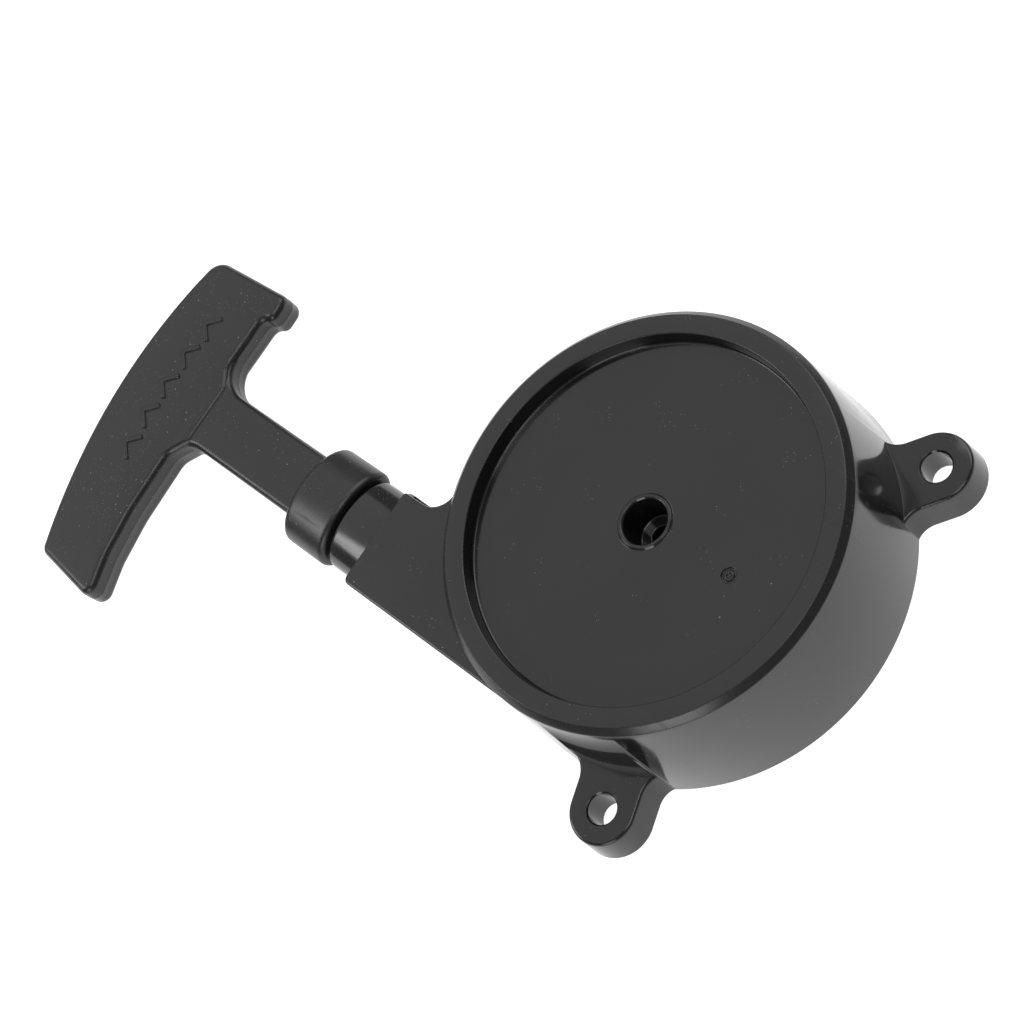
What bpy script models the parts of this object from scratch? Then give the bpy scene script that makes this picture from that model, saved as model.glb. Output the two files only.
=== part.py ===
"""Recoil (rope pull) starter for a small engine, as separate pieces in one frame.

The starter lies on its engine face: Z = 0 is the plane of the open rim and the three ears, and the
closed front of the drum looks up.  The rope is pulled towards -X.  All sizes are in millimetres
about the drum's axis, and the root empty moves the whole starter so that the origin is the centre
of the bounding box at the bottom.
"""
import math

import bmesh
import bpy

MM = 0.001
GAP = 0.3  # running or seating gap between two touching pieces

# Where the drum's axis stands from the origin
DRUM_X, DRUM_Y = 53.737, 17.195

# Housing: a cup open towards the engine
DRUM_R, DRUM_BASE_R, DRUM_HEIGHT = 45.0, 47.3, 31.0
RIM_CHAMFER, RECESS_R, RECESS_DEPTH = 1.4, 39.4, 3.7
WALL_INNER_R, PLATE_UNDERSIDE = 42.0, 24.3
POST_R, POST_END = 8.0, 3.4
HOLLOW_R, HOLLOW_FLOOR, PILOT_R, PILOT_FLOOR = 4.9, 19.0, 2.3, 16.2
EAR_AZIMUTHS = (48.9, 168.9, 288.9)
EAR_PITCH_R, EAR_R, EAR_HEIGHT, EAR_HOLE_R, EAR_EDGE, EAR_DRAFT = 54.75, 8.2, 7.8, 3.25, 0.6, 0.6
EAR_FILLET, EAR_ROOT_R = 5.0, 46.8
TURNED_STEPS = 72

# Rope line, neck and rope guide
ROPE_Y, ROPE_Z, ROPE_R = -33.1, 14.0, 1.5
NECK_END, NECK_UPPER, NECK_TOP, NECK_BOTTOM = -53.8, -22.0, 28.6, 1.0
NECK_WALL, NECK_FILLET = 2.6, 5.5
SPIGOT_R, GUIDE_R, GUIDE_END, FLANGE_SIDE, FLANGE_T = 7.0, 11.0, 70.7, 23.4, 2.0
SEAT_R, SEAT_END = 5.4, 71.3
OVAL = 0.605  # height over width of the guide's barrel and the handle's collar
EYELET_R, EYELET_BORE_R, EYELET_END = 3.6, 2.3, 60.0

# Handle: grip, stem and collar in one moulding
COLLAR_START, COLLAR_END, COLLAR_R = 71.6, 85.9, 12.15
STEM_HALF_WIDTH, STEM_THICKNESS, STEM_EDGE = 7.8, 7.0, 1.5
GRIP_THICKNESS, GRIP_EDGE = 8.2, 1.8
BOW_X, BOW_Y, BOW_RADIUS = -154.8, -30.0, 120.0
GRIP_TOP, GRIP_TOE, BOW_STEPS = -0.8, -83.8, 14
HANDLE_BORE_R, POCKET_R, POCKET_START, PLUG_END = 1.9, 3.1, 142.0, 154.2
HANDLE_KNOT_R, HANDLE_KNOT_X = 2.6, 146.6

# Reel, winding and recoil spring
BUSH_R, REEL_R, REEL_HUB_R, REEL_ROOT_R, REEL_BOSS_R = 9.4, 38.5, 12.6, 15.2, 15.2
REEL_TOP, REEL_BOTTOM, FLANGE_TOP, CHANNEL_TOP = 23.7, 9.4, 17.2, 16.1
CHANNEL_BOTTOM, FLANGE_BOTTOM = 11.9, 10.4
WINDING_OUTER_R, WINDING_PITCH, WINDING_TURNS, WINDING_POINTS = 33.1, 3.4, 4.6, 24
KNOT_R, KNOT_AZIMUTH, KNOT_PITCH_R = 2.5, 6.0, 12.4
CASE_R, CASE_WALL, CASE_FLOOR, CASE_HOLE_R = 38.8, 0.8, 17.6, 13.6
SPRING_INNER_R, SPRING_OUTER_R, SPRING_TURNS, SPRING_T = 13.9, 37.2, 8.5, 0.5
SPRING_BOTTOM, SPRING_TOP = 18.5, 23.6

# Pawls, friction plate and the centre screw, on the engine side of the reel
PIVOT_R, PIVOT_BOSS_R, PIN_R, PIN_HEAD_R = 22.0, 4.2, 1.9, 3.2
PAWL_BOTTOM, PAWL_TOP, PAWL_BORE_R = 5.9, 8.6, 2.2
PLATE_BOTTOM, PLATE_T, PLATE_R, PLATE_BORE_R = 3.8, 1.0, 12.0, 8.3
TAB_R, TAB_T, TAB_AZIMUTH, ARM_HALF_WIDTH, ARM_END = 19.3, 1.2, -52.0, 2.2, 20.2
INSERT_R, INSERT_BORE_R, INSERT_LOW, INSERT_HIGH = 4.0, 2.8, 4.6, 14.8


def clear_scene():
    """Remove what a new file starts with."""
    for obj in list(bpy.data.objects):
        bpy.data.objects.remove(obj, do_unlink=True)


def new_collection(name):
    made = bpy.data.collections.new(name)
    bpy.context.scene.collection.children.link(made)
    return made


def new_material(name, colour, roughness, metallic=0.0):
    made = bpy.data.materials.new(name)
    made.use_nodes = True
    shader = made.node_tree.nodes["Principled BSDF"]
    shader.inputs["Base Color"].default_value = (*colour, 1.0)
    shader.inputs["Roughness"].default_value = roughness
    shader.inputs["Metallic"].default_value = metallic
    return made


def new_empty(name, place, parent=None):
    """An empty on a joint axis; place is in millimetres from the parent."""
    made = bpy.data.objects.new(name, None)
    PARTS.objects.link(made)
    made.parent = parent
    made.location = [v * MM for v in place]
    return made


def new_object(name, mesh, place=(0, 0, 0), turn=(0, 0, 0)):
    """A working object in the tools collection, placed from the drum's axis."""
    made = bpy.data.objects.new(name, mesh)
    TOOLS.objects.link(made)
    made.location = [v * MM for v in place]
    made.rotation_euler = [math.radians(v) for v in turn]
    made.display_type = "WIRE"
    made.hide_render = True
    return made


def baked(obj):
    """Replace an object by its evaluated mesh, keeping its name and place."""
    bpy.context.view_layer.update()
    graph = bpy.context.evaluated_depsgraph_get()
    mesh = bpy.data.meshes.new_from_object(obj.evaluated_get(graph))
    work = bmesh.new()
    work.from_mesh(mesh)
    bmesh.ops.remove_doubles(work, verts=work.verts, dist=1e-6)
    work.to_mesh(mesh)
    work.free()
    made = new_object("tmp", mesh)
    made.matrix_world = obj.matrix_world.copy()
    name = obj.name
    bpy.data.objects.remove(obj, do_unlink=True)
    made.name = name
    return made


def turned(name, profile, place=(0, 0, 0), turn=(0, 0, 0), steps=TURNED_STEPS, closed=False):
    """Turn a (radius, height) profile, listed down its outer side, about the local Z axis."""
    mesh = bpy.data.meshes.new(name)
    points = [(r * MM, 0.0, z * MM) for r, z in profile]
    edges = [(i, i + 1) for i in range(len(points) - 1)]
    if closed:
        edges.append((len(points) - 1, 0))
    mesh.from_pydata(points, edges, [])
    made = new_object(name, mesh, place, turn)
    screw = made.modifiers.new("turn", "SCREW")
    screw.steps = steps
    screw.render_steps = steps
    screw.use_merge_vertices = True
    screw.merge_threshold = 1e-6
    return baked(made)


def along_pull(name, profile, steps=40, closed=False, y=ROPE_Y, z=ROPE_Z):
    """Turn a profile about the rope's line; heights count towards -X from the drum's axis."""
    return turned(name, profile, (0, y, z), (0, -90, 0), steps, closed)


def flattened(obj):
    """Make a form turned about the rope's line oval: its height becomes OVAL times its width."""
    for v in obj.data.vertices:
        v.co.x *= OVAL
    return obj


def rod(name, radius, bottom, top, place=(0, 0), steps=24):
    """A plain cylinder along Z."""
    profile = [(0, top), (radius, top), (radius, bottom), (0, bottom)]
    return turned(name, profile, (place[0], place[1], 0), steps=steps)


def round_corners(corners, steps=5):
    """Turn (x, y, radius) corners into an outline whose corners are arcs."""
    outline = []
    count = len(corners)
    for i, (x, y, radius) in enumerate(corners):
        if radius <= 0:
            outline.append((x, y))
            continue
        ax, ay = corners[i - 1][0] - x, corners[i - 1][1] - y
        bx, by = corners[(i + 1) % count][0] - x, corners[(i + 1) % count][1] - y
        la, lb = math.hypot(ax, ay), math.hypot(bx, by)
        ax, ay, bx, by = ax / la, ay / la, bx / lb, by / lb
        half = math.acos(max(-1.0, min(1.0, ax * bx + ay * by))) / 2
        reach = radius / math.tan(half)
        mx, my = ax + bx, ay + by
        length = math.hypot(mx, my)
        cx, cy = x + mx / length * radius / math.sin(half), y + my / length * radius / math.sin(half)
        start = math.atan2(y + ay * reach - cy, x + ax * reach - cx)
        end = math.atan2(y + by * reach - cy, x + bx * reach - cx)
        sweep = (end - start + math.pi) % (2 * math.pi) - math.pi
        for k in range(steps + 1):
            angle = start + sweep * k / steps
            outline.append((cx + radius * math.cos(angle), cy + radius * math.sin(angle)))
    return outline


def slab(name, outline, bottom, top, edge=0.0, top_only=False, segments=3, place=(0, 0, 0),
         turn=(0, 0, 0), draft=0.0):
    """A flat outline given its thickness, drawn in by draft at the top, its rims rounded by edge."""
    curve = bpy.data.curves.new(name, "CURVE")
    curve.dimensions = "2D"
    curve.fill_mode = "BOTH"
    curve.extrude = (top - bottom) * MM / 2
    spline = curve.splines.new("POLY")
    spline.points.add(len(outline) - 1)
    for point, (x, y) in zip(spline.points, outline):
        point.co = (x * MM, y * MM, 0, 1)
    spline.use_cyclic_u = True
    middle = (top + bottom) / 2
    made = baked(new_object(name, curve, (place[0], place[1], place[2] + middle), turn))
    work = bmesh.new()
    work.from_mesh(made.data)
    bmesh.ops.remove_doubles(work, verts=work.verts, dist=1e-6)
    if edge > 0:
        bmesh.ops.dissolve_limit(work, angle_limit=0.001, verts=work.verts, edges=work.edges)
    if draft > 0:
        inward = {}
        for k, (x, y) in enumerate(outline):
            ax, ay = outline[k - 1]
            bx, by = outline[(k + 1) % len(outline)]
            length = math.hypot(bx - ax, by - ay)
            inward[(round(x, 3), round(y, 3))] = (-(by - ay) / length, (bx - ax) / length)
        for v in work.verts:
            nx, ny = inward[(round(v.co.x / MM, 3), round(v.co.y / MM, 3))]
            if v.co.z > 0:
                v.co.x += nx * draft * MM
                v.co.y += ny * draft * MM
        lowest = min(v.co.z for v in work.verts)
        rims = []
        for e in work.edges:
            flat = abs(e.verts[0].co.z - e.verts[1].co.z) < 1e-6
            if flat and not (top_only and abs(e.verts[0].co.z - lowest) < 1e-6):
                rims.append(e)
        bmesh.ops.bevel(work, geom=rims, offset=edge * MM, segments=segments, profile=0.5,
                        affect="EDGES", clamp_overlap=True)
    bmesh.ops.recalc_face_normals(work, faces=work.faces)
    work.to_mesh(made.data)
    work.free()
    return made


def block(name, low, high):
    """A box between two corners."""
    work = bmesh.new()
    bmesh.ops.create_cube(work, size=1.0)
    for v in work.verts:
        v.co = [(low[k] + (v.co[k] + 0.5) * (high[k] - low[k])) * MM for k in range(3)]
    mesh = bpy.data.meshes.new(name)
    work.to_mesh(mesh)
    work.free()
    return new_object(name, mesh)


def tube(name, points, radius):
    """A round cord or wire through the points, with filled ends."""
    curve = bpy.data.curves.new(name, "CURVE")
    curve.dimensions = "3D"
    curve.bevel_depth = radius * MM
    curve.bevel_resolution = 2
    curve.use_fill_caps = True
    spline = curve.splines.new("POLY")
    spline.points.add(len(points) - 1)
    for point, place in zip(spline.points, points):
        point.co = (*[v * MM for v in place], 1)
    return baked(new_object(name, curve))


def ball(name, radius, centre, squash=(1, 1, 1)):
    """A knot's outer shape: a slightly flattened ball."""
    work = bmesh.new()
    bmesh.ops.create_uvsphere(work, u_segments=20, v_segments=12, radius=radius * MM)
    for v in work.verts:
        v.co = [v.co[k] * squash[k] for k in range(3)]
    mesh = bpy.data.meshes.new(name)
    work.to_mesh(mesh)
    work.free()
    return new_object(name, mesh, centre)


def combine(target, tools, operation, solver="EXACT"):
    """Join tools to the target or cut them from it, one after the other."""
    for tool in tools:
        step = target.modifiers.new(tool.name, "BOOLEAN")
        step.operation = operation
        step.solver = solver
        step.object = tool
    return baked(target)


def part(obj, name, material, parent):
    """Make a finished piece one of the starter's named parts."""
    made = baked(obj)
    made.name = name
    TOOLS.objects.unlink(made)
    PARTS.objects.link(made)
    made.display_type = "TEXTURED"
    made.hide_render = False
    made.data.materials.clear()
    made.data.materials.append(material)
    made.data.shade_smooth()
    made.data.set_sharp_from_angle(angle=math.radians(32))
    axis = made_from_axis(parent)
    made.parent = parent
    made.matrix_parent_inverse.identity()
    made.location = [made.location[k] - axis[k] for k in range(3)]
    return made


def made_from_axis(parent):
    """The parent's place from the drum's axis, in metres."""
    place = [0.0, 0.0, 0.0]
    while parent is not None and parent is not ROOT:
        place = [place[k] + parent.location[k] for k in range(3)]
        parent = parent.parent
    return place


def polar(radius, azimuth):
    angle = math.radians(azimuth)
    return radius * math.cos(angle), radius * math.sin(angle)


def build_housing():
    """The cup with its neck, ears and hollow centre post."""
    floor = DRUM_HEIGHT - RECESS_DEPTH
    body = turned("housing_body", [
        (0, PILOT_FLOOR), (PILOT_R, PILOT_FLOOR), (PILOT_R, HOLLOW_FLOOR), (HOLLOW_R, HOLLOW_FLOOR),
        (HOLLOW_R, floor + 0.1), (HOLLOW_R + 0.3, floor + 0.4), (HOLLOW_R + 0.9, floor + 0.4),
        (HOLLOW_R + 1.2, floor), (RECESS_R - 0.3, floor), (RECESS_R, DRUM_HEIGHT),
        (DRUM_R - RIM_CHAMFER, DRUM_HEIGHT), (DRUM_R, DRUM_HEIGHT - RIM_CHAMFER),
        (DRUM_BASE_R, 0), (0, 0)])
    centre_x = -math.sqrt((DRUM_R + 0.3 + NECK_FILLET) ** 2 - (NECK_UPPER + NECK_FILLET) ** 2)
    centre_y = NECK_UPPER + NECK_FILLET
    to_drum = math.atan2(-centre_y, -centre_x)
    fillet = []
    for k in range(7):
        angle = to_drum + (-math.pi / 2 - to_drum) * k / 6
        fillet.append((centre_x + NECK_FILLET * math.cos(angle),
                       centre_y + NECK_FILLET * math.sin(angle), 0))
    inside = [(*polar(DRUM_R - 2.5, -90 - 7 * k), 0) for k in range(11)]
    neck_outline = round_corners(fillet + [
        (NECK_END, NECK_UPPER, 0.8), (NECK_END, -DRUM_R, 1.5), (0, -DRUM_R, 0)] + inside, 3)
    neck = slab("neck", neck_outline, NECK_BOTTOM, NECK_TOP, 0.5, segments=2)
    centre_y = EAR_R + EAR_FILLET
    centre_x = math.sqrt((EAR_ROOT_R + EAR_FILLET) ** 2 - centre_y ** 2)
    start = math.atan2(-centre_y, -centre_x)
    flare = [(centre_x - 6, centre_y + 0.5)]
    for k in range(8):
        angle = start + (-math.pi / 2 - start) * k / 7
        flare.append((centre_x + EAR_FILLET * math.cos(angle), centre_y + EAR_FILLET * math.sin(angle)))
    tip = [polar(EAR_R, -90 + 10 * k) for k in range(19)]
    ear_outline = ([(x, -y) for x, y in flare] + [(EAR_PITCH_R + x, y) for x, y in tip]
                   + flare[::-1] + [(38, 8), (38, -8)])
    ears = []
    for azimuth in EAR_AZIMUTHS:
        ears.append(slab("ear", ear_outline, 0, EAR_HEIGHT, EAR_EDGE, True, turn=(0, 0, azimuth),
                         draft=EAR_DRAFT))
    body = combine(body, [neck] + ears, "UNION")
    cavity = turned("cavity", [
        (0, POST_END), (POST_R, POST_END), (POST_R, PLATE_UNDERSIDE),
        (WALL_INNER_R - 1.5, PLATE_UNDERSIDE), (WALL_INNER_R, PLATE_UNDERSIDE - 1.5),
        (WALL_INNER_R, -1), (0, -1)])
    channel = block("channel", (NECK_END + NECK_WALL, -42.2, 3.6), (-8, NECK_UPPER - NECK_WALL, 24.0))
    outlet = along_pull("outlet", [(0, 60), (SPIGOT_R + GAP, 60), (SPIGOT_R + GAP, 45), (0, 45)])
    insert_bore = rod("insert_bore", INSERT_R + GAP, POST_END - 1, INSERT_HIGH + GAP)
    holes = []
    for azimuth in EAR_AZIMUTHS:
        holes.append(rod("ear_hole", EAR_HOLE_R, -1, EAR_HEIGHT + 1, polar(EAR_PITCH_R, azimuth)))
    body = combine(body, [cavity, channel, outlet, insert_bore] + holes, "DIFFERENCE", "MANIFOLD")
    ribs = []
    for k in range(6):
        rib = block("rib", (CASE_R + GAP, -1, CASE_FLOOR), (WALL_INNER_R + 1, 1, PLATE_UNDERSIDE + 1))
        rib.rotation_euler[2] = math.radians(60 * k + 20)
        ribs.append(rib)
    body = combine(body, ribs, "UNION", "MANIFOLD")
    part(body, "housing", BLACK_GLOSS, ROOT)


def build_rope_guide():
    """The bush that leads the rope out of the neck, with its steel eyelet."""
    flange = -NECK_END + GAP
    body = along_pull("guide_core", [
        (0, SEAT_END), (SEAT_R, SEAT_END), (SEAT_R, flange + 1), (SPIGOT_R, flange + 1),
        (SPIGOT_R, flange - 5), (0, flange - 5)])
    barrel = flattened(along_pull("guide_barrel", [
        (0, GUIDE_END), (GUIDE_R - 1.2, GUIDE_END), (GUIDE_R - 0.35, GUIDE_END - 0.35),
        (GUIDE_R, GUIDE_END - 1.2), (GUIDE_R, flange + FLANGE_T + 1),
        (GUIDE_R + 0.5, flange + FLANGE_T - 0.2), (GUIDE_R + 0.5, flange + 0.4), (0, flange + 0.4)]))
    half = FLANGE_SIDE / 2
    plate = slab("guide_flange", round_corners([
        (-half, -half, 2.5), (half, -half, 2.5), (half, half, 2.5), (-half, half, 2.5)]),
        flange, flange + FLANGE_T, 0.4, segments=1)
    plate.rotation_euler = (0, math.radians(-90), 0)
    plate.location = (-(flange + FLANGE_T / 2) * MM, ROPE_Y * MM, ROPE_Z * MM)
    body = combine(body, [barrel, plate], "UNION")
    bore = along_pull("guide_bore", [
        (0, SEAT_END + 1), (3.6, SEAT_END + 1), (3.6, SEAT_END - 0.5), (2.6, SEAT_END - 3), (2.6, EYELET_END + GAP),
        (EYELET_R + GAP, EYELET_END + GAP), (EYELET_R + GAP, 45), (0, 45)])
    part(combine(body, [bore], "DIFFERENCE"), "rope_guide", BLACK_GLOSS, ROOT)
    inner = flange - 5 - GAP
    eyelet = along_pull("eyelet", [
        (EYELET_BORE_R, EYELET_END), (EYELET_R, EYELET_END), (EYELET_R, inner), (5.4, inner),
        (5.4, inner - 0.9), (3.2, inner - 0.9), (EYELET_BORE_R, inner + 0.6)], closed=True)
    part(eyelet, "rope_eyelet", STEEL, ROOT)


def bow(y):
    """The X of the grip's bowed outer face at a height y on the grip."""
    return BOW_X + (y - BOW_Y) ** 2 / (2 * BOW_RADIUS)


def build_handle():
    """The grip, stem and collar, moulded as one, with a rope bore and a knot pocket."""
    upper, lower = ROPE_Y + STEM_HALF_WIDTH, ROPE_Y - STEM_HALF_WIDTH
    corners = [
        (-124.4, 0.5, 3.0), (-124.4, -6.2, 2.2), (-127.4, -7.4, 2.3), (-127.4, upper + 4.5, 4.0),
        (-123.6, upper - 0.3, 1.0), (-123.6, lower + 0.3, 1.0), (-127.3, lower - 5, 4.0),
        (-126.6, -62, 30.0), (-124.8, -73, 12.0), (-121.0, GRIP_TOE - 0.4, 2.6),
        (bow(GRIP_TOE + 1.6), GRIP_TOE + 1.6, 2.6)]
    for k in range(1, BOW_STEPS):
        y = GRIP_TOE + 5 + (GRIP_TOP - 6 - GRIP_TOE - 5) * k / BOW_STEPS
        corners.append((bow(y), y, 0))
    outline = round_corners([(bow(GRIP_TOP), GRIP_TOP, 5.0)] + corners)
    half = GRIP_THICKNESS / 2
    body = slab("grip", outline, ROPE_Z - half, ROPE_Z + half, GRIP_EDGE)
    stem_outline = round_corners([
        (-80, upper, 0), (-127.4, upper, 8.0), (-127.4, -14, 0), (-140, -14, 0), (-140, -54, 0),
        (-127.3, -54, 0), (-127.3, lower, 6.0), (-80, lower, 0)])
    half = STEM_THICKNESS / 2
    stem = slab("stem", stem_outline, ROPE_Z - half, ROPE_Z + half, STEM_EDGE)
    collar = flattened(along_pull("collar", [
        (0, COLLAR_END), (COLLAR_R - 1.6, COLLAR_END), (COLLAR_R - 0.5, COLLAR_END - 0.5),
        (COLLAR_R, COLLAR_END - 1.6), (COLLAR_R, COLLAR_START + 1.4),
        (COLLAR_R - 0.4, COLLAR_START + 0.4), (COLLAR_R - 1.4, COLLAR_START), (0, COLLAR_START)],
        steps=48))
    body = combine(body, [stem, collar], "UNION")
    bore = along_pull("handle_bore", [
        (0, 170), (POCKET_R, 170), (POCKET_R, POCKET_START), (HANDLE_BORE_R, POCKET_START),
        (HANDLE_BORE_R, COLLAR_START + 2), (3.4, COLLAR_START + 0.8), (3.4, COLLAR_START - 1),
        (0, COLLAR_START - 1)], steps=24)
    part(combine(body, [bore], "DIFFERENCE"), "handle", BLACK_SATIN, HANDLE_AXIS)
    plug = along_pull("plug", [
        (0, PLUG_END), (POCKET_R - 1, PLUG_END), (POCKET_R - GAP, PLUG_END - 0.7),
        (POCKET_R - GAP, PLUG_END - 4), (0, PLUG_END - 4)], steps=24)
    part(plug, "handle_plug", BLACK_SATIN, HANDLE_AXIS)
    washer = along_pull("washer", [
        (1.8, POCKET_START + 1.1), (POCKET_R - GAP, POCKET_START + 1.1),
        (POCKET_R - GAP, POCKET_START + GAP), (1.8, POCKET_START + GAP)], steps=24, closed=True)
    part(washer, "knot_washer", STEEL, HANDLE_AXIS)
    knot = ball("knot", HANDLE_KNOT_R, (-HANDLE_KNOT_X, ROPE_Y, ROPE_Z), (1.15, 1, 1))
    part(knot, "handle_knot", ROPE, HANDLE_AXIS)


def build_rope():
    """The rope: the flat winding on the reel and the straight run out to the handle's knot."""
    count = int(WINDING_TURNS * WINDING_POINTS)
    winding = []
    for k in range(count + 1):
        turn = k / WINDING_POINTS
        radius = WINDING_OUTER_R - WINDING_PITCH * turn
        x, y = polar(radius, -90 + 360 * turn)
        winding.append((x, y, ROPE_Z))
    part(tube("winding", winding, ROPE_R), "rope_winding", ROPE, REEL_AXIS)
    run_end = HANDLE_KNOT_X - 1.15 * HANDLE_KNOT_R - GAP
    run = [(-0.6 - (run_end - 0.6) * k / 8, ROPE_Y, ROPE_Z) for k in range(9)]
    part(tube("run", run, ROPE_R), "rope_run", ROPE, HANDLE_AXIS)
    x, y = polar(KNOT_PITCH_R, KNOT_AZIMUTH + 120)
    part(ball("reel_knot_ball", KNOT_R, (x, y, ROPE_Z)), "reel_knot", ROPE, REEL_AXIS)


def build_reel():
    """The reel with its bush; its knot pocket opens towards the engine."""
    body = turned("reel_body", [
        (BUSH_R + GAP, REEL_TOP), (REEL_HUB_R, REEL_TOP), (REEL_HUB_R, FLANGE_TOP),
        (REEL_R, FLANGE_TOP), (REEL_R, CHANNEL_TOP), (REEL_ROOT_R, CHANNEL_TOP),
        (REEL_ROOT_R, CHANNEL_BOTTOM), (REEL_R, CHANNEL_BOTTOM), (REEL_R, FLANGE_BOTTOM),
        (REEL_BOSS_R, FLANGE_BOTTOM), (REEL_BOSS_R, REEL_BOTTOM), (BUSH_R + GAP, REEL_BOTTOM)],
        closed=True)
    bosses = []
    for azimuth in (0, 180):
        bosses.append(rod("pivot_boss", PIVOT_BOSS_R, PAWL_TOP + GAP, FLANGE_BOTTOM + 0.5,
                          polar(PIVOT_R, azimuth)))
    body = combine(body, bosses, "UNION")
    x, y = polar(KNOT_PITCH_R + 0.6, KNOT_AZIMUTH + 120)
    cutters = [rod("knot_pocket", KNOT_R + 0.6, REEL_BOTTOM - 1, ROPE_Z + KNOT_R, (x, y), 20)]
    for azimuth in (0, 180):
        cutters.append(rod("pin_hole", PIN_R + GAP, PAWL_TOP - 1, FLANGE_BOTTOM + 1.1,
                           polar(PIVOT_R, azimuth)))
    part(combine(body, cutters, "DIFFERENCE"), "reel", GREY_PLASTIC, REEL_AXIS)
    bush = turned("bush", [
        (POST_R + GAP, REEL_TOP), (BUSH_R, REEL_TOP), (BUSH_R, REEL_BOTTOM),
        (POST_R + GAP, REEL_BOTTOM)], steps=48, closed=True)
    part(bush, "reel_bush", BRASS, REEL_AXIS)


def build_spring():
    """The flat spiral spring and the pressed steel case that holds it."""
    case = turned("case", [
        (CASE_R - CASE_WALL, PLATE_UNDERSIDE - GAP), (CASE_R, PLATE_UNDERSIDE - GAP),
        (CASE_R, CASE_FLOOR), (CASE_HOLE_R, CASE_FLOOR), (CASE_HOLE_R, CASE_FLOOR + 0.6),
        (CASE_R - CASE_WALL, CASE_FLOOR + 0.6)], closed=True)
    part(case, "spring_case", STEEL, ROOT)
    count = int(SPRING_TURNS * 28)
    inner, outer = [], []
    for k in range(count + 1):
        share = k / count
        radius = SPRING_INNER_R + (SPRING_OUTER_R - SPRING_INNER_R) * share
        azimuth = 360 * SPRING_TURNS * share
        inner.append(polar(radius, azimuth))
        outer.append(polar(radius + SPRING_T, azimuth))
    strip = slab("strip", inner + outer[::-1], SPRING_BOTTOM, SPRING_TOP)
    part(strip, "recoil_spring", SPRING_STEEL, ROOT)


def build_pawls():
    """Two pawls on their pins, which swing out when the friction plate lags behind the reel."""
    corners = [
        (PIN_R + 2.1, 3.2, 2.5), (-1.5, 3.4, 2.0), (-2.0, -3.0, 2.0), (-0.8, -13.5, 0.6),
        (4.2, -13.9, 0.6), (4.6, -6.0, 3.0)]
    for k, axis in enumerate((PAWL_AXIS_1, PAWL_AXIS_2)):
        x, y = polar(PIVOT_R, 180 * k)
        body = slab("pawl_body", round_corners(corners, 4), PAWL_BOTTOM, PAWL_TOP, 0.4, segments=1,
                    place=(x, y, 0), turn=(0, 0, 180 * k))
        bore = rod("pawl_bore", PAWL_BORE_R, PAWL_BOTTOM - 1, PAWL_TOP + 1, (x, y))
        part(combine(body, [bore], "DIFFERENCE"), f"pawl_{k + 1}", STEEL, axis)
        pin = turned("pin", [
            (0, FLANGE_BOTTOM + 0.8), (PIN_R, FLANGE_BOTTOM + 0.8), (PIN_R, PAWL_BOTTOM - GAP),
            (PIN_HEAD_R, PAWL_BOTTOM - GAP), (PIN_HEAD_R, PLATE_BOTTOM + PLATE_T + GAP),
            (0, PLATE_BOTTOM + PLATE_T + GAP)], (x, y, 0), steps=24)
        part(pin, f"pawl_pin_{k + 1}", STEEL, REEL_AXIS)


def build_friction_plate():
    """The friction plate with two bent-up tabs, and the coil spring that loads it."""
    top = PLATE_BOTTOM + PLATE_T
    root_angle = math.degrees(math.asin(ARM_HALF_WIDTH / PLATE_R))
    outline = []
    for side in (0, 180):
        tip_angle = math.degrees(math.atan2(ARM_HALF_WIDTH, ARM_END))
        for sign in (-1, 1):
            outline.append(polar(math.hypot(ARM_END, ARM_HALF_WIDTH), side + sign * tip_angle))
        for k in range(13):
            outline.append(polar(PLATE_R, side + root_angle + (180 - 2 * root_angle) * k / 12))
    body = slab("plate_body", outline, PLATE_BOTTOM, top, turn=(0, 0, TAB_AZIMUTH))
    tabs = []
    for k in range(2):
        tab = block("plate_tab", (TAB_R - TAB_T / 2, -1.8, PLATE_BOTTOM + 0.2), (TAB_R + TAB_T / 2, 1.8, 8.0))
        tab.rotation_euler[2] = math.radians(TAB_AZIMUTH + 180 * k)
        tabs.append(tab)
    body = combine(body, tabs, "UNION", "MANIFOLD")
    bore = rod("plate_bore", PLATE_BORE_R, PLATE_BOTTOM - 1, top + 1, steps=48)
    part(combine(body, [bore], "DIFFERENCE", "MANIFOLD"), "friction_plate", STEEL, PLATE_AXIS)
    coil = []
    for k in range(61):
        x, y = polar(9.9, 18.0 * k)
        rise = min(max((k - 10) / 40, 0.0), 1.0)
        coil.append((x, y, top + 0.9 + (REEL_BOTTOM - top - 1.8) * rise + 0.004 * k))
    part(tube("coil", coil, 0.45), "friction_spring", SPRING_STEEL, REEL_AXIS)


def build_fasteners():
    """The brass insert in the post, the centre screw and its washer."""
    insert = turned("insert", [
        (INSERT_BORE_R, INSERT_HIGH), (INSERT_R, INSERT_HIGH), (INSERT_R, INSERT_LOW),
        (INSERT_BORE_R, INSERT_LOW)], steps=24, closed=True)
    part(insert, "post_insert", BRASS, ROOT)
    washer = turned("washer_body", [
        (INSERT_BORE_R + GAP, POST_END - GAP), (10.0, POST_END - GAP), (10.0, POST_END - 1.1),
        (INSERT_BORE_R + GAP, POST_END - 1.1)], steps=40, closed=True)
    part(washer, "screw_washer", STEEL, ROOT)
    head_top = POST_END - 1.4
    shank = rod("shank", 2.5, 1.2, 12.0)
    flange = rod("head_flange", 6.0, head_top - 0.5, head_top, steps=32)
    hexagon = rod("hexagon", 4.6, 0.4, head_top - 0.2, steps=6)
    part(combine(shank, [flange, hexagon], "UNION"), "centre_screw", STEEL, ROOT)


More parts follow.
